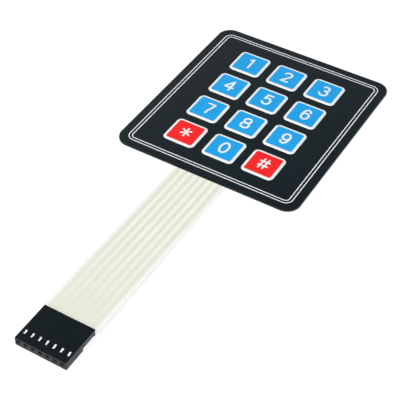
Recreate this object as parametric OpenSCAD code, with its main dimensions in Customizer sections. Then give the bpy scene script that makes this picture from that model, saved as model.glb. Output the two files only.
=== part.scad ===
// Flat membrane keypad: a laminated panel of three by four keys, a film tail and a seven-way socket.
// Millimetres. The origin is the middle of the panel's back, +Y points to the top row, +Z out of the keys.

/* [Panel] */
// Width of the panel
panel_w = 69; // [67:0.5:90]
// Height of the panel
panel_h = 77; // [76:0.5:100]
// Radius of the panel's corners
panel_r = 5; // [2:0.5:8]

/* [Keys] */
// Distance between key centres, across and down
key_pitch = 15.2; // [14.2:0.1:15.6]
// Width and height of a raised key at its foot
key_size = 12; // [10.5:0.05:13]
// Radius of a key's corners at its foot
key_r = 1.7; // [1:0.1:3]
// How far a key stands above the panel
key_rise = 0.25; // [0.1:0.05:0.6]
// Run of the sloped edge of a key
key_slope = 0.4; // [0.1:0.05:0.8]

/* [Layers] */
// Thickness of the peel-off liner on the back
liner_t = 0.1; // [0.05:0.01:0.2]
// Thickness of the adhesive that sticks the panel down
rear_adhesive_t = 0.1; // [0.05:0.01:0.3]
// Thickness of each circuit film
film_t = 0.1; // [0.05:0.005:0.15]
// Thickness of the spacer between the circuit films
spacer_t = 0.15; // [0.1:0.01:0.25]
// Thickness of the adhesive under the overlay
overlay_adhesive_t = 0.05; // [0.03:0.01:0.2]
// Thickness of the printed overlay
overlay_t = 0.2; // [0.1:0.01:0.4]

/* [Print] */
// Thickness of the printed colours
print_t = 0.02; // [0.01:0.005:0.05]
// Width of the white frame round a key
frame_w = 0.95; // [0.5:0.05:1.1]
// Distance from the panel's edge to the outer border line
border_inset = 2.95; // [1:0.05:3.2]
// Radius of the outer border line at a corner
border_r = 2.75; // [2:0.05:4]
// Width of each border line
border_line_w = 0.35; // [0.3:0.05:0.6]
// Gap between the two border lines
border_gap = 0.8; // [0.4:0.05:0.85]

/* [Circuit] */
// Thickness of the conductive ink
ink_t = 0.02; // [0.01:0.005:0.04]
// Width of an ink track on the panel
track_w = 1; // [0.5:0.1:1.4]
// Distance between neighbouring tracks along the panel's edges
track_pitch = 2; // [1.6:0.1:2.1]
// Distance from the panel's left edge to the outermost row track
track_side_inset = 5; // [3:0.1:5.5]
// Distance from the panel's bottom edge to the lowest row track
track_foot_inset = 3; // [2:0.1:3.3]
// Diameter of a contact pad
pad_d = 6; // [4:0.5:8]
// Diameter of the spacer's hole at each key
hole_d = 10; // [8.5:0.5:10]
// Width of the slots that let air pass between the holes
vent_w = 1.6; // [1.5:0.1:3]

/* [Tail] */
// Length of the tail between the panel and the socket
tail_len = 73.5; // [40:0.5:200]
// Distance from an outer conductor's centre to the tail's edge
tail_margin = 2; // [1.3:0.05:3]
// The same distance on the neck that enters the socket
neck_margin = 1.15; // [0.9:0.05:1.25]
// Gap between the tail's shoulders and the rear of the socket
shoulder_gap = 0.3; // [0.1:0.05:0.8]
// Distance between conductor centres, and between socket ways
way_pitch = 2.54; // [2.5:0.01:3]
// Width of a conductor in the tail
conductor_w = 1.3; // [1.1:0.05:1.5]
// Length of tail that stays flat beside the panel and beside the socket
tail_flat = 2; // [1:0.5:8]

/* [Socket housing] */
// Length of the housing, front to rear
housing_l = 14.5; // [14:0.1:18]
// Height of the housing
housing_h = 3; // [2.9:0.05:3.6]
// Distance from an outer way's centre to the housing's side
housing_end = 1.28; // [1.26:0.01:3]
// Thickness of the housing's plate above the film
plate_t = 0.7; // [0.55:0.05:0.8]
// Length of the open bay under the rear of the plate
bay_l = 6.3; // [6.2:0.1:7.2]
// Thickness of the wall at the front of the housing
front_wall = 0.9; // [0.7:0.05:1.1]
// Height of the mouths' centres above the foot of the housing
mouth_z = 1.7; // [1.5:0.05:1.75]
// Width and height of a way's straight mouth
mouth_size = 1; // [0.8:0.05:1.2]
// Width and height of a mouth's funnel at the front face
funnel_size = 1.3; // [1.25:0.05:2.2]
// Depth of a mouth's funnel
funnel_depth = 0.35; // [0.2:0.05:0.6]
// Width of a window in the top of the housing
window_w = 0.8; // [0.75:0.05:1.2]
// Length of a window in the top of the housing
window_l = 1.7; // [1.65:0.05:2.2]
// Distance from the front of the housing to a window's centre
window_back = 3.45; // [3.2:0.05:3.7]

/* [Clamp] */
// Thickness of the clamp under the film
clamp_t = 0.9; // [0.45:0.05:1]
// Distance from the rear of the housing to the rear of the clamp
clamp_inset = 0.2; // [0:0.05:0.6]
// Length of the rounded lip along the clamp's rear
lip_l = 0.7; // [0.4:0.05:0.9]
// Height of the clamp at its rear lip
lip_h = 1.4; // [1.1:0.05:1.6]
// Diameter of a peg that passes through the film
peg_d = 0.8; // [0.5:0.05:0.9]
// Length of a peg inside the plate
peg_reach = 0.4; // [0.2:0.05:0.45]
// Distance from the rear of the housing to the pegs
peg_back = 3.8; // [3.6:0.1:4]
// Clearance round a peg in the film
peg_clear = 0.05; // [0.02:0.01:0.1]

/* [Terminals] */
// Thickness of the sheet metal
metal_t = 0.2; // [0.15:0.01:0.22]
// Width and height of a receptacle box
box_size = 1.7; // [1.6:0.05:1.8]
// Length of a receptacle box
box_l = 4.4; // [4.2:0.1:4.6]
// Clearance between a box and the housing
box_clear = 0.05; // [0.02:0.01:0.1]
// Gap between the two contact beams
beam_gap = 0.5; // [0.3:0.05:0.6]
// Height of a contact beam
beam_h = 0.8; // [0.5:0.05:1]
// Thickness of a contact beam
beam_t = 0.15; // [0.1:0.01:0.2]
// Length of a contact beam
beam_l = 3.7; // [3.2:0.1:4]
// Distance from the front of a contact beam to where it meets the pin
beam_crown = 2; // [1.5:0.1:2.5]
// Width of the lance that stands in a window
lance_w = 0.6; // [0.4:0.05:0.7]
// Length of the lance
lance_l = 1.5; // [1.3:0.05:1.6]
// Gap between the lance's tip and the top of the housing
lance_drop = 0.12; // [0.05:0.01:0.2]
// Width of the strip under the film
strip_w = 1.2; // [1.15:0.05:1.4]
// Clearance beside the strip in the clamp
strip_clear = 0.05; // [0.02:0.01:0.1]
// Distance from the rear of the housing to the rear of the strip
strip_back = 1.2; // [1:0.1:1.8]
// Distance from the rear of the housing to the rear pair of tines
rear_tine_back = 2.6; // [2.2:0.1:3]
// Distance from the rear of the housing to the front pair of tines
front_tine_back = 4.9; // [4.7:0.1:5.1]
// Length of a tine along the tail
tine_l = 0.6; // [0.3:0.05:0.8]
// Distance between the inner faces of a pair of tines
tine_gap = 0.6; // [0.5:0.05:0.65]
// How far a clinched tine reaches in over the film
clinch_reach = 0.2; // [0.1:0.05:0.25]
// Thickness of a clinched tine above the film
clinch_t = 0.15; // [0.1:0.01:0.18]
// Room for clinched tines under the plate
clinch_room = 0.2; // [0.18:0.01:0.25]
// Length of film inside the housing
film_in = 5.9; // [5.6:0.1:6.2]
// Bare film beyond the end of a conductor
film_bare = 0.3; // [0.1:0.05:0.4]

/* [Hidden] */
$fn = 64;
rows = 4;
columns = 3;
ways = rows + columns;
tail_steps = 16;
// Lane along the panel's foot that each column's track takes, counted like the rows' lanes
column_lanes = [1, 2, 1];

// Undersides of the layers, from the back up
rear_adhesive_z = liner_t;
lower_film_z = rear_adhesive_z + rear_adhesive_t;
spacer_z = lower_film_z + film_t;
upper_film_z = spacer_z + spacer_t;
overlay_adhesive_z = upper_film_z + film_t;
overlay_z = overlay_adhesive_z + overlay_adhesive_t;
row_ink_z = spacer_z;
column_ink_z = upper_film_z - ink_t;

// Hollow under a raised key: the overlay keeps its thickness round the bend, to a hundredth
key_bend = atan2(key_rise, key_slope);
pocket_inset = round(100 * overlay_t * tan(key_bend / 2)) / 100;
pocket_size = key_size - 2 * pocket_inset;
pocket_r = key_r - pocket_inset;

// Print
panel_top_z = overlay_z + overlay_t;
field_size = key_size - 2 * frame_w;
least_r = 0.1;
field_r = max(least_r, key_r - frame_w);
red_row = rows - 1;

// Tail
tail_t = 2 * film_t + spacer_t;
tail_w = (ways - 1) * way_pitch + 2 * tail_margin;
neck_w = (ways - 1) * way_pitch + 2 * neck_margin;
panel_foot_y = -panel_h / 2;
socket_y = panel_foot_y - tail_len;
tail_lap = 2;

// Housing
housing_w = (ways - 1) * way_pitch + 2 * housing_end;
plate_z = housing_h - plate_t;
film_seat_z = plate_z - tail_t;
tail_rise = film_seat_z - lower_film_z;
cavity_size = box_size + 2 * box_clear;

// Terminals
box_front = housing_l - front_wall - box_clear;
box_rear = box_front - box_l;
box_foot = mouth_z - box_size / 2;
box_roof = mouth_z + box_size / 2;
lance_y = housing_l - window_back;
strip_z = film_seat_z - metal_t;

// Places

function key_x(column) = (column - (columns - 1) / 2) * key_pitch;

function key_y(row) = ((rows - 1) / 2 - row) * key_pitch;

function way_x(way) = (way - (ways - 1) / 2) * way_pitch;

// Height that the tail has gained at y: flat beside the panel and the socket, an S-curve between them
function tail_share(y) = min(1, max(0, (panel_foot_y - tail_flat - y) / (tail_len - 2 * tail_flat)));

function tail_gain(y) = tail_rise * pow(tail_share(y), 2) * (3 - 2 * tail_share(y));

module at_keys() {
    for (column = [0 : columns - 1], row = [0 : rows - 1]) {
        translate([key_x(column), key_y(row), 0]) children();
    }
}

// The socket's own frame: y = 0 at its rear, +Y to its front
module at_socket() {
    translate([0, socket_y, 0]) rotate(180) children();
}

module at_ways() {
    for (way = [0 : ways - 1]) translate([way_x(way), 0, 0]) children();
}

// Shared shapes

module rounded_square(w, h, r) {
    square([w - 2 * r, h], center = true);
    square([w, h - 2 * r], center = true);
    for (x = [-1, 1], y = [-1, 1]) translate([x * (w / 2 - r), y * (h / 2 - r)]) circle(r);
}

// A solid with rounded corners whose four sides slope in by run over its height
module sloped_pad(size, r, run, h) {
    straight = size - 2 * r;
    side = [[-size / 2, 0], [size / 2, 0], [size / 2 - run, h], [run - size / 2, h]];
    for (turn = [0, 90]) {
        rotate(turn) translate([0, straight / 2, 0]) rotate([90, 0, 0]) {
            linear_extrude(straight) polygon(side);
        }
    }
    for (x = [-1, 1], y = [-1, 1]) {
        translate([x * straight / 2, y * straight / 2, 0]) cylinder(h = h, r1 = r, r2 = r - run);
    }
}

// A profile drawn in y and z, carried along x and centred on x = 0
module along_x(w) {
    translate([-w / 2, 0, 0]) rotate([90, 0, 90]) linear_extrude(w) children();
}

module panel_sheet(z, t) {
    translate([0, 0, z]) linear_extrude(t) rounded_square(panel_w, panel_h, panel_r);
}

// A strip that runs from the panel down the tail to end_y, at height z beside the panel
module tail_strip(w, z, t, end_y) {
    span = tail_len - 2 * tail_flat;
    curve = [for (i = [0 : tail_steps]) panel_foot_y - tail_flat - span * i / tail_steps];
    route = concat([panel_foot_y + tail_lap], curve, [end_y]);
    last = len(route) - 1;
    below = [for (y = route) [y, z + tail_gain(y)]];
    above = [for (i = [last : -1 : 0]) [route[i], z + t + tail_gain(route[i])]];
    along_x(w) polygon(concat(below, above));
}

// One of the sheets that carry on from the panel down the tail, with a neck that enters the socket
module tailed_sheet(z, t) {
    panel_sheet(z, t);
    tail_strip(tail_w, z, t, socket_y + shoulder_gap);
    at_socket() translate([-neck_w / 2, -tail_flat, z + tail_rise]) cube([neck_w, tail_flat + film_in, t]);
}

// A straight track between two points on one axis line, with square ends
module track(from, to) {
    low = [min(from.x, to.x), min(from.y, to.y)];
    reach = [abs(from.x - to.x), abs(from.y - to.y)];
    translate(low - [track_w, track_w] / 2) square(reach + [track_w, track_w]);
}

// Cuts that the terminals and the clamp make through the end of the tail

module tine_pair(z, h) {
    for (side = [-1, 1], back = [rear_tine_back, front_tine_back]) {
        translate([side * (tine_gap + metal_t) / 2, back, z + h / 2]) {
            cube([metal_t, tine_l, h], center = true);
        }
    }
}

module at_pegs() {
    for (side = [-1, 1]) translate([side * (way_x(0) + way_x(1)) / 2, peg_back, 0]) children();
}

module film_cuts() {
    depth = metal_t + tail_t + clinch_t;
    at_socket() {
        at_ways() tine_pair(strip_z, depth);
        at_pegs() translate([0, 0, strip_z]) cylinder(h = depth, d = peg_d + 2 * peg_clear);
    }
}

// Printed colours

// The ring between two rounded outlines, the outer one inset from the panel's edge
module border_line(inset) {
    r = border_r + border_inset - inset;
    inner = inset + border_line_w;
    difference() {
        rounded_square(panel_w - 2 * inset, panel_h - 2 * inset, r);
        rounded_square(panel_w - 2 * inner, panel_h - 2 * inner, r - border_line_w);
    }
}

// The white on one key: over its sloped edge and the rim of its top
module key_frame() {
    difference() {
        union() {
            linear_extrude(print_t) rounded_square(key_size, key_size, key_r);
            translate([0, 0, print_t]) sloped_pad(key_size, key_r, key_slope, key_rise);
        }
        sloped_pad(key_size, key_r, key_slope, key_rise);
        linear_extrude(key_rise + print_t) rounded_square(field_size, field_size, field_r);
    }
}

module key_field(column, row) {
    translate([key_x(column), key_y(row), panel_top_z + key_rise]) {
        linear_extrude(print_t) rounded_square(field_size, field_size, field_r);
    }
}

function is_red(column, row) = row == red_row && column != (columns - 1) / 2;

module white_print() {
    color([0.95, 0.96, 0.97]) translate([0, 0, panel_top_z]) {
        linear_extrude(print_t) border_line(border_inset);
        linear_extrude(print_t) border_line(border_inset + border_line_w + border_gap);
        at_keys() key_frame();
    }
}

module blue_print() {
    color([0.1, 0.6, 0.92]) for (column = [0 : columns - 1], row = [0 : rows - 1]) {
        if (!is_red(column, row)) key_field(column, row);
    }
}

module red_print() {
    color([0.95, 0.1, 0.12]) for (column = [0 : columns - 1], row = [0 : rows - 1]) {
        if (is_red(column, row)) key_field(column, row);
    }
}

// Panel layers

module graphic_overlay() {
    color([0.12, 0.14, 0.15]) difference() {
        union() {
            panel_sheet(overlay_z, overlay_t);
            translate([0, 0, panel_top_z]) at_keys() sloped_pad(key_size, key_r, key_slope, key_rise);
        }
        translate([0, 0, overlay_z]) at_keys() sloped_pad(pocket_size, pocket_r, key_slope, key_rise);
    }
}

module overlay_adhesive() {
    color([0.14, 0.15, 0.16]) difference() {
        panel_sheet(overlay_adhesive_z, overlay_adhesive_t);
        translate([0, 0, overlay_adhesive_z]) at_keys() {
            linear_extrude(overlay_adhesive_t) rounded_square(pocket_size, pocket_size, pocket_r);
        }
    }
}

module circuit_film(z) {
    color([0.93, 0.93, 0.88]) difference() {
        tailed_sheet(z, film_t);
        film_cuts();
    }
}

module upper_circuit_film() {
    circuit_film(upper_film_z);
}

module lower_circuit_film() {
    circuit_film(lower_film_z);
}

module rear_adhesive() {
    color([0.3, 0.31, 0.32]) panel_sheet(rear_adhesive_z, rear_adhesive_t);
}

module release_liner() {
    color([0.95, 0.94, 0.88]) panel_sheet(0, liner_t);
}

module spacer() {
    color([0.88, 0.9, 0.9]) difference() {
        tailed_sheet(spacer_z, spacer_t);
        translate([0, 0, spacer_z]) linear_extrude(spacer_t) spacer_openings();
        for (row = [0 : rows - 1]) row_ink(row);
        for (column = [0 : columns - 1]) column_ink(column);
        film_cuts();
    }
}

// Holes at the keys, joined down each column, and across the bottom row
module spacer_openings() {
    at_keys() circle(d = hole_d);
    for (column = [0 : columns - 1]) {
        translate([key_x(column), 0]) square([vent_w, (rows - 1) * key_pitch], center = true);
    }
    translate([0, key_y(rows - 1)]) square([(columns - 1) * key_pitch, vent_w], center = true);
}

// Conductors

module tail_conductor(way, z) {
    translate([way_x(way), 0, 0]) tail_strip(conductor_w, z, ink_t, socket_y - film_in + film_bare);
}

// A row's pads joined across, then led round the left and bottom edges to its way
module row_ink(row) {
    side_x = -panel_w / 2 + track_side_inset + row * track_pitch;
    foot_y = panel_foot_y + track_foot_inset + row * track_pitch;
    translate([0, 0, row_ink_z]) linear_extrude(ink_t) {
        for (column = [0 : columns - 1]) translate([key_x(column), key_y(row)]) circle(d = pad_d);
        track([side_x, key_y(row)], [key_x(columns - 1), key_y(row)]);
        track([side_x, key_y(row)], [side_x, foot_y]);
        track([side_x, foot_y], [way_x(row), foot_y]);
        track([way_x(row), foot_y], [way_x(row), panel_foot_y + tail_lap]);
    }
    tail_conductor(row, row_ink_z);
}

// A column's pads joined down, then led along the bottom edge to its way
module column_ink(column) {
    way = rows + column;
    foot_y = panel_foot_y + track_foot_inset + column_lanes[column] * track_pitch;
    translate([0, 0, column_ink_z]) linear_extrude(ink_t) {
        for (row = [0 : rows - 1]) translate([key_x(column), key_y(row)]) circle(d = pad_d);
        track([key_x(column), key_y(0)], [key_x(column), foot_y]);
        track([key_x(column), foot_y], [way_x(way), foot_y]);
        track([way_x(way), foot_y], [way_x(way), panel_foot_y + tail_lap]);
    }
    tail_conductor(way, column_ink_z);
}

module row_trace(row) {
    color([0.7, 0.71, 0.72]) difference() {
        row_ink(row);
        film_cuts();
    }
}

module column_trace(column) {
    color([0.7, 0.71, 0.72]) difference() {
        column_ink(column);
        film_cuts();
    }
}

// Socket

// A funnel that narrows from the front face to the straight mouth
module funnel() {
    wide = funnel_size / 2;
    narrow = mouth_size / 2;
    side = [[0, -wide], [0, wide], [-funnel_depth, narrow], [-funnel_depth, -narrow]];
    intersection() {
        along_x(funnel_size) polygon(side);
        rotate([0, 90, 0]) along_x(funnel_size) polygon(side);
    }
}

// What is cut out of the housing for one way
module way_cuts() {
    cavity_l = housing_l - bay_l - front_wall;
    translate([-cavity_size / 2, bay_l, mouth_z - cavity_size / 2]) {
        cube([cavity_size, cavity_l, cavity_size]);
    }
    translate([-mouth_size / 2, bay_l + cavity_l, mouth_z - mouth_size / 2]) {
        cube([mouth_size, front_wall, mouth_size]);
    }
    translate([0, housing_l, mouth_z]) funnel();
    translate([-window_w / 2, lance_y - window_l / 2, mouth_z]) {
        cube([window_w, window_l, housing_h - mouth_z]);
    }
    translate([-strip_w / 2 - strip_clear, strip_back, plate_z]) {
        cube([strip_w + 2 * strip_clear, bay_l - strip_back, clinch_room]);
    }
}

module connector_housing() {
    color([0.1, 0.12, 0.13]) at_socket() difference() {
        union() {
            translate([-housing_w / 2, 0, plate_z]) cube([housing_w, housing_l, plate_t]);
            translate([-housing_w / 2, bay_l, 0]) cube([housing_w, housing_l - bay_l, housing_h]);
        }
        at_ways() way_cuts();
        at_pegs() translate([0, 0, plate_z]) cylinder(h = peg_reach, d = peg_d);
    }
}

module connector_clamp() {
    color([0.1, 0.12, 0.13]) at_socket() {
        difference() {
            along_x(housing_w) clamp_profile();
            at_ways() translate([-strip_w / 2 - strip_clear, strip_back - strip_clear, strip_z]) {
                cube([strip_w + 2 * strip_clear, bay_l - strip_back + strip_clear, metal_t]);
            }
        }
        at_pegs() translate([0, 0, strip_z]) cylinder(h = metal_t + tail_t + peg_reach, d = peg_d);
    }
}

// Side view of the clamp: a flat plate with a lip at the rear that is rounded underneath
module clamp_profile() {
    translate([clamp_inset, film_seat_z - clamp_t]) square([bay_l - clamp_inset, clamp_t]);
    translate([clamp_inset, film_seat_z - lip_h + lip_l / 2]) square([lip_l, lip_h - lip_l / 2]);
    translate([clamp_inset + lip_l / 2, film_seat_z - lip_h + lip_l / 2]) circle(d = lip_l);
}

// One terminal in the socket's frame, on x = 0
module terminal_shape() {
    receptacle_box();
    for (side = [0, 1]) mirror([side, 0, 0]) contact_beam();
    lance();
    along_x(strip_w) strip_profile();
    tine_pair(strip_z, metal_t + tail_t);
    clinched_tips();
}

// A square tube, open at both ends, with the lance's slot in its roof
module receptacle_box() {
    inner = box_size - 2 * metal_t;
    translate([0, box_rear + box_l / 2, mouth_z]) difference() {
        cube([box_size, box_l, box_size], center = true);
        cube([inner, box_l, inner], center = true);
        translate([0, lance_y - box_rear - box_l / 2, box_size / 2]) {
            cube([lance_w, lance_l, 2 * metal_t], center = true);
        }
    }
}

// A spring that leaves the side wall near the mouth and bows in to meet the pin
module contact_beam() {
    wall_x = box_size / 2 - metal_t;
    near_x = beam_gap / 2;
    crown_y = box_front - beam_crown;
    tip_y = box_front - beam_l;
    translate([0, 0, mouth_z - beam_h / 2]) linear_extrude(beam_h) polygon([
        [wall_x, box_front], [wall_x - beam_t, box_front], [near_x, crown_y], [near_x + beam_t, tip_y],
        [near_x + 2 * beam_t, tip_y], [near_x + beam_t, crown_y], [wall_x, box_front - 2 * beam_t]
    ]);
}

// A tongue cut from the roof, bent up so that its free rear end stands in the window
module lance() {
    tip_z = housing_h - lance_drop;
    front = lance_y + lance_l / 2;
    rear = lance_y - lance_l / 2;
    along_x(lance_w) polygon([
        [front, box_roof - metal_t], [front, box_roof], [rear, tip_z], [rear, tip_z - metal_t]
    ]);
}

// Side view of the strip: under the film, then down to the floor of the box
module strip_profile() {
    polygon([
        [strip_back, strip_z], [bay_l, strip_z], [box_rear, box_foot], [box_rear + metal_t, box_foot],
        [box_rear + metal_t, box_foot + metal_t], [box_rear, box_foot + metal_t],
        [bay_l, film_seat_z], [strip_back, film_seat_z]
    ]);
}

// The tines' ends, folded in over the film
module clinched_tips() {
    fold = metal_t + clinch_reach;
    for (side = [-1, 1], back = [rear_tine_back, front_tine_back]) {
        translate([side * (tine_gap / 2 + metal_t - fold / 2), back, plate_z + clinch_t / 2]) {
            cube([fold, tine_l, clinch_t], center = true);
        }
    }
}

module terminal(way) {
    color([0.86, 0.87, 0.88]) translate([way_x(way), 0, 0]) at_socket() terminal_shape();
}

white_print();
blue_print();
red_print();
graphic_overlay();
overlay_adhesive();
upper_circuit_film();
spacer();
lower_circuit_film();
rear_adhesive();
release_liner();
connector_housing();
connector_clamp();
for (i = [0 : columns - 1]) column_trace(i);
for (i = [0 : rows - 1]) row_trace(i);
for (i = [0 : ways - 1]) terminal(i);
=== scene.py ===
# Looks of the flat membrane keypad: camera, light, materials and the printed legends.
# All lengths below are millimetres unless a name says otherwise. Blender itself works in metres.

import math

import bmesh
import bpy
import numpy as np
from mathutils import Matrix, Vector


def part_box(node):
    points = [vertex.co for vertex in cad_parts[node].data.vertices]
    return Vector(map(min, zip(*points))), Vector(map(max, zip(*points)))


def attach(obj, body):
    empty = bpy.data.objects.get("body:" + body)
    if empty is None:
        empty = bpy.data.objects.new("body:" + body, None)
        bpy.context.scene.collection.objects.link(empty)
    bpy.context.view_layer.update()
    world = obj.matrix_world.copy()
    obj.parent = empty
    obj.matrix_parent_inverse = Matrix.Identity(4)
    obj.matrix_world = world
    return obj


MM = 0.001

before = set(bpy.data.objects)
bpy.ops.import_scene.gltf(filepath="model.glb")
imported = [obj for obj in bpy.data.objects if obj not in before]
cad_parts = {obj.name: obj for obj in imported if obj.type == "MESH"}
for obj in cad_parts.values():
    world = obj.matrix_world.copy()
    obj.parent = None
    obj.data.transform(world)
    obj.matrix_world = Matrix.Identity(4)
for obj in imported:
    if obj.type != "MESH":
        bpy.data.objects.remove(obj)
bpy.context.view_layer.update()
scene = bpy.context.scene
scene.view_settings.view_transform = "Standard"


# Node helpers

# Most values of a noise texture lie in this span
NOISE_SPAN = (0.3, 0.7)
NOISE_ROUGHNESS = 0.55
COARSE_DETAIL = 2.0
FINE_DETAIL = 3.0

# Sockets of a Mix node set to colours, which share their names with those for numbers
MIX_FACTOR = 0
MIX_FIRST = 6
MIX_SECOND = 7
MIX_RESULT = 2


def node(tree, kind, inputs=None, **settings):
    """A new shader node. An input is a value, or another node's output that gets linked."""
    made = tree.nodes.new(kind)
    for name, value in settings.items():
        setattr(made, name, value)
    for name, value in (inputs or {}).items():
        if isinstance(value, bpy.types.NodeSocket):
            tree.links.new(value, made.inputs[name])
        else:
            made.inputs[name].default_value = value
    return made


def math_node(tree, operation, first, second=0.0):
    """One arithmetic step on numbers or outputs."""
    return node(tree, "ShaderNodeMath", {0: first, 1: second}, operation=operation).outputs[0]


def remap(tree, value, low, high, to_low, to_high, smooth=False):
    """The range low to high carried to to_low to to_high, and held at its ends."""
    kind = "SMOOTHSTEP" if smooth else "LINEAR"
    inputs = {"Value": value, "From Min": low, "From Max": high, "To Min": to_low, "To Max": to_high}
    return node(tree, "ShaderNodeMapRange", inputs, interpolation_type=kind).outputs["Result"]


def ramp(tree, factor, first, second):
    """A colour that goes from first to second as the factor goes from 0 to 1."""
    made = node(tree, "ShaderNodeValToRGB", {"Fac": factor})
    made.color_ramp.elements[0].color = (*first, 1)
    made.color_ramp.elements[1].color = (*second, 1)
    return made.outputs["Color"]


def mix_colour(tree, factor, first, second):
    """First where the factor is 0 and second where it is 1. Each is a colour or an output."""
    first, second = (c if isinstance(c, bpy.types.NodeSocket) else (*c, 1) for c in (first, second))
    inputs = {MIX_FACTOR: factor, MIX_FIRST: first, MIX_SECOND: second}
    return node(tree, "ShaderNodeMix", inputs, data_type="RGBA").outputs[MIX_RESULT]


def place(tree):
    """The point being shaded, in metres in the part's own frame."""
    return node(tree, "ShaderNodeTexCoord").outputs["Object"]


def axes(tree):
    """The same point's three coordinates, by the names X, Y and Z."""
    return node(tree, "ShaderNodeSeparateXYZ", {"Vector": place(tree)}).outputs


def noise(tree, size, detail=COARSE_DETAIL, stretch=(1, 1, 1)):
    """Noise from 0 to 1 whose blotches are about size millimetres across, drawn out along stretch."""
    scale = tuple(1 / (size * MM * s) for s in stretch)
    spot = node(tree, "ShaderNodeMapping", {"Vector": place(tree), "Scale": scale}).outputs["Vector"]
    inputs = {"Vector": spot, "Scale": 1.0, "Detail": detail, "Roughness": NOISE_ROUGHNESS}
    return node(tree, "ShaderNodeTexNoise", inputs).outputs["Fac"]


def spread(tree, drift, low, high):
    """Noise carried from its usual span to the range low to high."""
    return remap(tree, drift, *NOISE_SPAN, low, high)


def bump(tree, shader, height, depth):
    """Relief of the given depth in millimetres, from a height between 0 and 1."""
    inputs = {"Height": height, "Distance": depth * MM, "Strength": 1.0}
    tree.links.new(node(tree, "ShaderNodeBump", inputs).outputs["Normal"], shader.inputs["Normal"])


def new_material(name):
    """A new material, its node tree and its shader."""
    material = bpy.data.materials.new(name)
    material.use_nodes = True
    return material, material.node_tree, material.node_tree.nodes["Principled BSDF"]


def surface(name, dark, light, blotch, gloss, grain, depth, stretch=(1, 1, 1), metal=0.0, specular=0.5):
    """A material whose colour drifts between two shades, with a varying gloss and a fine grain."""
    material, tree, shader = new_material(name)
    drift = spread(tree, noise(tree, blotch), 0, 1)
    tree.links.new(ramp(tree, drift, dark, light), shader.inputs["Base Color"])
    fine = noise(tree, grain, FINE_DETAIL, stretch)
    tree.links.new(spread(tree, fine, *gloss), shader.inputs["Roughness"])
    bump(tree, shader, fine, depth)
    shader.inputs["Metallic"].default_value = metal
    shader.inputs["Specular IOR Level"].default_value = specular
    return material


# Camera

CAMERA_PLACE = Vector((136.315, -277.909, 255.754))
CAMERA_RIGHT = Vector((0.85885, 0.5118, 0.02093))
CAMERA_UP = Vector((-0.36874, 0.58939, 0.71878))
CAMERA_AHEAD = Vector((-0.35554, 0.62504, -0.69492))
LENS = 102.435
SENSOR = 36
NEAR_CLIP = 10

camera_data = bpy.data.cameras.new("camera")
camera_data.sensor_width = SENSOR
camera_data.lens = LENS
camera_data.clip_start = NEAR_CLIP * MM
camera = bpy.data.objects.new("camera", camera_data)
scene.collection.objects.link(camera)
turned = Matrix((CAMERA_RIGHT, CAMERA_UP, -CAMERA_AHEAD)).transposed().to_4x4()
camera.matrix_world = Matrix.Translation(CAMERA_PLACE * MM) @ turned
scene.camera = camera


# Light

MIDDLE = Vector((0, -45, 0))


def soft_box(name, spot, size, radiance):
    """A square lamp whose surface has the given radiance, turned to face the part's middle."""
    data = bpy.data.lights.new(name, "AREA")
    data.shape = "SQUARE"
    data.size = size * MM
    data.energy = radiance * math.pi * (size * MM) ** 2
    lamp = bpy.data.objects.new(name, data)
    scene.collection.objects.link(lamp)
    lamp.location = Vector(spot) * MM
    lamp.rotation_euler = (MIDDLE - Vector(spot)).to_track_quat("-Z", "Y").to_euler()
    return lamp


soft_box("top_light", spot=(-100, -380, 760), size=700, radiance=4.35)
soft_box("front_light", spot=(350, -900, 600), size=500, radiance=2.2)
soft_box("left_light", spot=(-760, 590, 400), size=500, radiance=1.1)
# The light from the right only fills the edges: it makes no reflection of its own
right_light = soft_box("right_light", spot=(900, -100, 330), size=500, radiance=1.4)
right_light.visible_glossy = False

# A white cove all round under a dark ceiling: the level falls between two heights of the view direction
COVE_TOP = 0.25
CEILING_FOOT = 0.72
COVE_LIGHT = 1.0
CEILING_LIGHT = 0.04

world = bpy.data.worlds.new("studio")
world.use_nodes = True
scene.world = world
sky = world.node_tree
outward = node(sky, "ShaderNodeTexCoord").outputs["Generated"]
height = node(sky, "ShaderNodeSeparateXYZ", {"Vector": outward}).outputs["Z"]
level = remap(sky, height, COVE_TOP, CEILING_FOOT, COVE_LIGHT, CEILING_LIGHT, smooth=True)
sky.nodes["Background"].inputs["Color"].default_value = (1, 1, 1, 1)
sky.links.new(level, sky.nodes["Background"].inputs["Strength"])


def seen_directly(tree):
    """1 for what the camera sees, itself or in a mirror or through glass, and 0 for other rays."""
    path = node(tree, "ShaderNodeLightPath").outputs
    seen = math_node(tree, "ADD", path["Is Camera Ray"], path["Is Glossy Ray"])
    return math_node(tree, "MINIMUM", math_node(tree, "ADD", seen, path["Is Transmission Ray"]), 1.0)


# A white floor that keeps the object's shadow
FLOOR_HALF = 6000
FLOOR_Z = -0.05
FLOOR_GLOW = 0.8
FLOOR_SHADED = (0.24, 0.24, 0.24, 1)
FLOOR_PLAIN = (0.82, 0.82, 0.82, 1)

corners = [(x * FLOOR_HALF, y * FLOOR_HALF, FLOOR_Z) for x, y in ((-1, -1), (1, -1), (1, 1), (-1, 1))]
floor_mesh = bpy.data.meshes.new("floor")
floor_mesh.from_pydata([Vector(c) * MM for c in corners], [], [(0, 1, 2, 3)])
floor = bpy.data.objects.new("floor", floor_mesh)
scene.collection.objects.link(floor)
floor_material, ground, first_shader = new_material("floor")
ground.nodes.remove(first_shader)
plain = node(ground, "ShaderNodeBsdfDiffuse", {"Color": FLOOR_PLAIN}).outputs[0]
shaded = node(ground, "ShaderNodeBsdfDiffuse", {"Color": FLOOR_SHADED}).outputs[0]
glow = node(ground, "ShaderNodeEmission", {"Strength": FLOOR_GLOW}).outputs[0]
white = node(ground, "ShaderNodeAddShader", {0: shaded, 1: glow}).outputs[0]
mixed = node(ground, "ShaderNodeMixShader", {0: seen_directly(ground), 1: plain, 2: white}).outputs[0]
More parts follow.
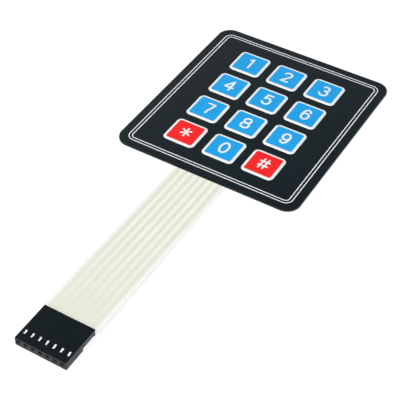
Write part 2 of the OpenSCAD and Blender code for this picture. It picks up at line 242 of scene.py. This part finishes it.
ground.links.new(mixed, ground.nodes["Material Output"].inputs["Surface"])
floor_mesh.materials.append(floor_material)


# Materials

def print_material(name, dark, light):
    """Ink and film of the overlay: satin, with the fine texture of a polyester face."""
    return surface(name, dark, light, blotch=18, gloss=(0.26, 0.36), grain=0.14, depth=0.004, specular=0.3)


black_face = print_material("black_overlay", (0.0024, 0.0086, 0.0122), (0.0036, 0.0102, 0.0142))
white_ink = print_material("white_ink", (0.77, 0.79, 0.80), (0.81, 0.83, 0.84))
blue_ink = print_material("blue_ink", (0.006, 0.333, 0.735), (0.010, 0.353, 0.775))
red_ink = print_material("red_ink", (0.83, 0.012, 0.013), (0.87, 0.016, 0.017))
adhesive = surface("adhesive", (0.016, 0.017, 0.018), (0.024, 0.026, 0.027),
                   blotch=3, gloss=(0.6, 0.75), grain=0.2, depth=0.004, specular=0.05)
liner_paper = surface("liner_paper", (0.78, 0.76, 0.68), (0.84, 0.82, 0.74),
                      blotch=2.5, gloss=(0.5, 0.7), grain=0.12, depth=0.006, stretch=(1, 4, 1))
silver_ink = surface("silver_ink", (0.48, 0.49, 0.50), (0.58, 0.59, 0.60),
                     blotch=1.2, gloss=(0.35, 0.55), grain=0.08, depth=0.003, metal=0.6)
tin_plate = surface("tin_plate", (0.70, 0.70, 0.71), (0.77, 0.77, 0.77),
                    blotch=0.8, gloss=(0.34, 0.46), grain=0.06, depth=0.001, stretch=(1, 6, 1), metal=1.0)
moulding = surface("black_moulding", (0.0055, 0.0100, 0.0120), (0.0075, 0.0125, 0.0150),
                   blotch=4, gloss=(0.2, 0.3), grain=0.1, depth=0.004, specular=0.2)

# The sheets of the tail are dark in the panel. At the tail's root, close to the overlay's edge, a painted
# shadow of that edge darkens them too
TAIL_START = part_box("graphic_overlay")[0].y / MM
ROOT_PAINTED_SHADOW = 0.34
ROOT_SHADOW_BLEND = 0.12
PANEL_LAYER_AND_ROOT_SHADOW = (0.020, 0.022, 0.023)
SHEET_SPECULAR = 0.1
SHEET_GRAIN = 0.2
SHEET_GLOSS = (0.36, 0.5)

# The clear sheet between the films
PALE_SHEET = ((0.90, 0.90, 0.88), (0.94, 0.94, 0.92))
PALE_GRAIN = 0.3
PALE_DEPTH = 0.002

# The conductors show as darker bands. The pale ribs between them fade out towards the socket, and the
# outermost bands run out into pale edges.
WAYS = 7
OUTER_WAY = (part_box("terminal_7")[0].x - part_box("terminal_1")[0].x) / 2 / MM
WAY_PITCH = 2 * OUTER_WAY / (WAYS - 1)
BAND_HALF = 0.62
BAND_EDGE = 0.30
BAND = (0.688, 0.695, 0.604)
RIB = (0.820, 0.822, 0.718)
RIB_DEPTH = 0.012
RIB_FADE_START = -69
RIB_FADE_END = -114
RIB_BLOTCH = 5
RIB_STRETCH = (0.6, 4, 1)
RIB_LEAST = 0.75
MARGIN_START = 7.9
TAIL_HALF = 9.62
EDGE = (0.855, 0.862, 0.825)
# The films' cut sides are painted lighter than their faces: painted light, standing in for light carried
# through the film to its edge
PAINTED_LIGHT_DEPTH = 0.005
CUT_SIDE_PAINTED_LIGHT = (0.95, 0.95, 0.93)


def past_panel_and_root_shadow(tree):
    """0 in the panel and in the painted shadow at the tail's root, and 1 along the rest of the tail."""
    painted_shadow_end = TAIL_START - ROOT_PAINTED_SHADOW
    return remap(tree, axes(tree)["Y"], (painted_shadow_end - ROOT_SHADOW_BLEND) * MM, painted_shadow_end * MM, 1, 0)


def satin_sheet(tree, shader, colour, relief, depth):
    """A film's look: dark in the panel, a painted shadow at the tail's root, the colour past it, a satin
    gloss and a low relief.
    """
    # Painted shadow: the panel's dark colour reaches past the overlay's edge onto the root of the tail
    shown = mix_colour(tree, past_panel_and_root_shadow(tree), PANEL_LAYER_AND_ROOT_SHADOW, colour)
    tree.links.new(shown, shader.inputs["Base Color"])
    shader.inputs["Specular IOR Level"].default_value = SHEET_SPECULAR
    fine = noise(tree, SHEET_GRAIN, FINE_DETAIL)
    tree.links.new(spread(tree, fine, *SHEET_GLOSS), shader.inputs["Roughness"])
    bump(tree, shader, relief, depth)


def film_material(name):
    """Ivory film with the bands of the conductors inside, and painted light on its cut sides."""
    material, tree, shader = new_material(name)
    spot = axes(tree)
    across = math_node(tree, "DIVIDE", spot["X"], WAY_PITCH * MM)
    off_way = math_node(tree, "SUBTRACT", across, math_node(tree, "ROUND", across))
    inner = (BAND_HALF - BAND_EDGE) / WAY_PITCH
    outer = (BAND_HALF + BAND_EDGE) / WAY_PITCH
    between = remap(tree, math_node(tree, "ABSOLUTE", off_way), inner, outer, 0, 1, smooth=True)
    side = math_node(tree, "ABSOLUTE", spot["X"])
    fade = remap(tree, spot["Y"], RIB_FADE_END * MM, RIB_FADE_START * MM, 0, 1)
    uneven = spread(tree, noise(tree, RIB_BLOTCH, stretch=RIB_STRETCH), RIB_LEAST, 1)
    shown = math_node(tree, "MULTIPLY", fade, uneven)
    inboard = math_node(tree, "LESS_THAN", side, OUTER_WAY * MM)
    rib = math_node(tree, "MULTIPLY", math_node(tree, "MULTIPLY", between, inboard), shown)
    margin = remap(tree, side, MARGIN_START * MM, TAIL_HALF * MM, 0, 1)
    face = mix_colour(tree, margin, ramp(tree, rib, BAND, RIB), EDGE)
    # Painted light: the cut sides of the films get a lighter colour
    painted_light_side = math_node(tree, "GREATER_THAN", side, (TAIL_HALF - PAINTED_LIGHT_DEPTH) * MM)
    satin_sheet(tree, shader, mix_colour(tree, painted_light_side, face, CUT_SIDE_PAINTED_LIGHT), rib, RIB_DEPTH)
    return material


def spacer_material(name):
    """Clear sheet, pale along the tail."""
    material, tree, shader = new_material(name)
    fine = noise(tree, PALE_GRAIN, FINE_DETAIL)
    satin_sheet(tree, shader, ramp(tree, fine, *PALE_SHEET), fine, PALE_DEPTH)
    return material


clear_sheet = spacer_material("clear_sheet")
ivory_film = film_material("ivory_film")

FINISH = {
    "white_print": white_ink,
    "blue_print": blue_ink,
    "red_print": red_ink,
    "graphic_overlay": black_face,
    "overlay_adhesive": adhesive,
    "upper_circuit_film": ivory_film,
    "spacer": clear_sheet,
    "lower_circuit_film": ivory_film,
    "rear_adhesive": adhesive,
    "release_liner": liner_paper,
    "connector_housing": moulding,
    "connector_clamp": moulding,
}


def finish_of(name):
    """The material of a node: terminals and traces are numbered, and the others go by name."""
    if name.startswith("terminal_"):
        return tin_plate
    if "_trace_" in name:
        return silver_ink
    return FINISH[name]


for name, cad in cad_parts.items():
    cad.data.materials.clear()
    cad.data.materials.append(finish_of(name))

# The housing's moulded edges are slightly rounded
EDGE_ROUND = 0.12
ROUND_STEPS = 3
SHARP_ANGLE = 40
WELD_REACH = 0.001

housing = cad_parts["connector_housing"]
weld = housing.modifiers.new("weld", "WELD")
weld.merge_threshold = WELD_REACH * MM
round_edges = housing.modifiers.new("round_edges", "BEVEL")
round_edges.width = EDGE_ROUND * MM
round_edges.segments = ROUND_STEPS
round_edges.limit_method = "ANGLE"
round_edges.angle_limit = math.radians(SHARP_ANGLE)
round_edges.use_clamp_overlap = False
round_edges.harden_normals = False


# Printed legends

LEGEND_H = 5.85
LEGEND_LIFT = 0.2
STROKE = 0.76
SIGN_STROKE = 0.66
INK_T = 0.02
TOP = LEGEND_H / 2
RIM = TOP - STROKE / 2
ARC_STEPS = 40
RING_STEPS = 72

# The outlines are traced on a square grid that reaches a little past the signs
GRID = 0.047
GRID_SPARE = 1
LEAST_STEP = 0.01
# Within this many half widths of a stroke's end, the stroke is cut off square
END_REACH = 1.5
# Corners flatter than this many degrees are dropped
FLAT_ANGLE = 2


def arc(cx, cy, rx, ry, start, end, steps=ARC_STEPS):
    """Points on an ellipse, from one angle to another in degrees."""
    angles = [math.radians(start + (end - start) * i / steps) for i in range(steps + 1)]
    return [(cx + rx * math.cos(a), cy + ry * math.sin(a)) for a in angles]


def ring(cx, cy, rx, ry):
    """A whole ellipse, whose last point is the first again."""
    loop = arc(cx, cy, rx, ry, 0, 360, RING_STEPS)
    return loop[:-1] + loop[:1]


def bar(x0, y0, x1, y1):
    return [(x0, y0), (x1, y1)]


def six():
    bowl = ring(0, -0.95, 1.32, RIM - 0.95)
    back = arc(0.1, -0.15, 1.42, RIM + 0.15, 32, 196)
    return [bowl, back]


def half_turn(strokes):
    return [[(-x, -y) for x, y in path] for path in strokes]


def moved_right(strokes, distance):
    return [[(x + distance, y) for x, y in path] for path in strokes]


# The middle lines of each sign's strokes, from the middle of its key
STROKES = {
    "0": [ring(0, 0, 1.46, RIM)],
    "1": [bar(0.3, -TOP, 0.3, TOP), bar(-0.95, 1.85, 0.25, 2.5)],
    "2": [arc(0.05, 1.25, 1.3, RIM - 1.25, 180, -28) + [(-1.2, -RIM)], bar(-1.65, -RIM, 1.65, -RIM)],
    "3": [arc(0.05, 1.3, 1.25, RIM - 1.3, 152, -100), arc(0, -1.1, 1.47, RIM - 1.1, 100, -178)],
    "4": [bar(0.78, -TOP, 0.78, TOP), bar(-1.75, -1, 1.95, -1), bar(0.78, 2.65, -1.5, -0.9)],
    "5": [bar(-0.95, RIM, 1.6, RIM), bar(-0.72, TOP, -1, 0.2), arc(0.08, -0.8, 1.42, RIM - 0.8, 150, -165)],
    "6": moved_right(six(), 0.25),
    "7": [bar(-1.35, RIM, 1.75, RIM), [(1.42, RIM), (1.1, 0.9), (0.65, -0.2), (0.3, -1.2), (0.03, -TOP)]],
    "8": [ring(0, 1.28, 1.2, RIM - 1.28), ring(0, -1.15, 1.48, RIM - 1.15)],
    "9": moved_right(half_turn(six()), 0.15),
    "star": [bar(0, -2.35, 0, 2.35), bar(-1.75, -1.25, 1.75, 1.25), bar(-1.75, 1.25, 1.75, -1.25)],
    "hash": [bar(-1.05, -2.65, -0.55, 2.65), bar(0.5, -2.65, 1, 2.65),
             bar(-1.95, 1, 1.95, 1), bar(-1.95, -1, 1.95, -1)],
}
ROWS = (("1", "2", "3"), ("4", "5", "6"), ("7", "8", "9"), ("star", "0", "hash"))


def path_field(path, half, px, py):
    """Distance of every grid point outside a stroke of the given half width, with square ends."""
    field = np.full(px.shape, np.inf)
    for (ax, ay), (bx, by) in zip(path, path[1:]):
        dx, dy = bx - ax, by - ay
        along = ((px - ax) * dx + (py - ay) * dy) / (dx * dx + dy * dy)
        along = np.clip(along, 0, 1)
        field = np.minimum(field, np.hypot(px - ax - along * dx, py - ay - along * dy) - half)
    if path[0] == path[-1]:
        return field
    for (ax, ay), (bx, by) in ((path[0], path[1]), (path[-1], path[-2])):
        length = math.hypot(bx - ax, by - ay)
        beyond = ((ax - px) * (bx - ax) + (ay - py) * (by - ay)) / length
        near = np.hypot(px - ax, py - ay) < END_REACH * half
        field = np.where(near, np.maximum(field, beyond), field)
    return field


def outlines(field, xs, ys):
    """The closed loops on which the field is zero, found cell by cell."""
    links = {}
    points = {}

    def cross(i, j, di, dj):
        """The name of the crossing on one side of a cell, whose place is kept, or None."""
        low, high = field[i, j], field[i + di, j + dj]
        if (low < 0) == (high < 0):
            return None
        share = low / (low - high)
        key = (i, j, di)
        points[key] = (xs[i] + di * share * GRID, ys[j] + dj * share * GRID)
        return key

    inside = (field < 0).astype(int)
    corners_inside = inside[:-1, :-1] + inside[1:, :-1] + inside[:-1, 1:] + inside[1:, 1:]
    for i, j in zip(*np.nonzero((corners_inside > 0) & (corners_inside < 4))):
        sides = [cross(i, j, 1, 0), cross(i + 1, j, 0, 1), cross(i, j + 1, 1, 0), cross(i, j, 0, 1)]
        found = [key for key in sides if key is not None]
        for first, second in zip(found[::2], found[1::2]):
            links.setdefault(first, []).append(second)
            links.setdefault(second, []).append(first)
    loops = []
    while links:
        start = key = next(iter(links))
        loop = []
        while key in links:
            loop.append(points[key])
            onward = [other for other in links.pop(key) if other in links]
            key = onward[0] if onward else start
        loops.append([a for a, b in zip(loop, loop[1:] + loop[:1]) if math.dist(a, b) > LEAST_STEP])
    return loops


def add_legend(name, strokes, stroke, x, y, z):
    """One printed sign: its strokes' union as a thin closed solid, centred at x, y with its foot at z."""
    reach = TOP + GRID_SPARE
    xs = ys = np.arange(-reach, reach + GRID / 2, GRID)
    px, py = np.meshgrid(xs, ys, indexing="ij")
    field = np.minimum.reduce([path_field(path, stroke / 2, px, py) for path in strokes])
    form = bmesh.new()
    edges = []
    for loop in outlines(field, xs, ys):
        ring_verts = [form.verts.new(((x + u) * MM, (y + v) * MM, (z + INK_T) * MM)) for u, v in loop]
        edges += [form.edges.new((a, b)) for a, b in zip(ring_verts, ring_verts[1:] + ring_verts[:1])]
    bmesh.ops.triangle_fill(form, edges=edges, use_beauty=True, normal=(0, 0, 1))
    flat = math.radians(FLAT_ANGLE)
    bmesh.ops.dissolve_limit(form, angle_limit=flat, verts=form.verts[:], edges=form.edges[:])
    extruded = bmesh.ops.extrude_face_region(form, geom=form.faces[:])["geom"]
    foot = [part for part in extruded if isinstance(part, bmesh.types.BMVert)]
    bmesh.ops.translate(form, verts=foot, vec=(0, 0, -INK_T * MM))
    bmesh.ops.recalc_face_normals(form, faces=form.faces[:])
    mesh = bpy.data.meshes.new(name)
    form.to_mesh(mesh)
    form.free()
    mesh.materials.append(white_ink)
    piece = bpy.data.objects.new(name, mesh)
    scene.collection.objects.link(piece)
    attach(piece, "root")


# The two red fields lie in the bottom row, so their box gives that row's place and with it the key pitch,
# which is rounded to a thousandth of a millimetre
middle_row = (len(ROWS) - 1) / 2
middle_column = (len(ROWS[0]) - 1) / 2
red_low, red_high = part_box("red_print")
bottom_row_y = (red_low.y + red_high.y) / 2 / MM
key_pitch = round(-bottom_row_y / middle_row, 3)
field_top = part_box("blue_print")[1].z / MM
for row, signs in enumerate(ROWS):
    for column, sign in enumerate(signs):
        width = STROKE if sign.isdigit() else SIGN_STROKE
        spot = ((column - middle_column) * key_pitch, (middle_row - row) * key_pitch + LEGEND_LIFT)
        add_legend("legend_" + sign, STROKES[sign], width, *spot, field_top)
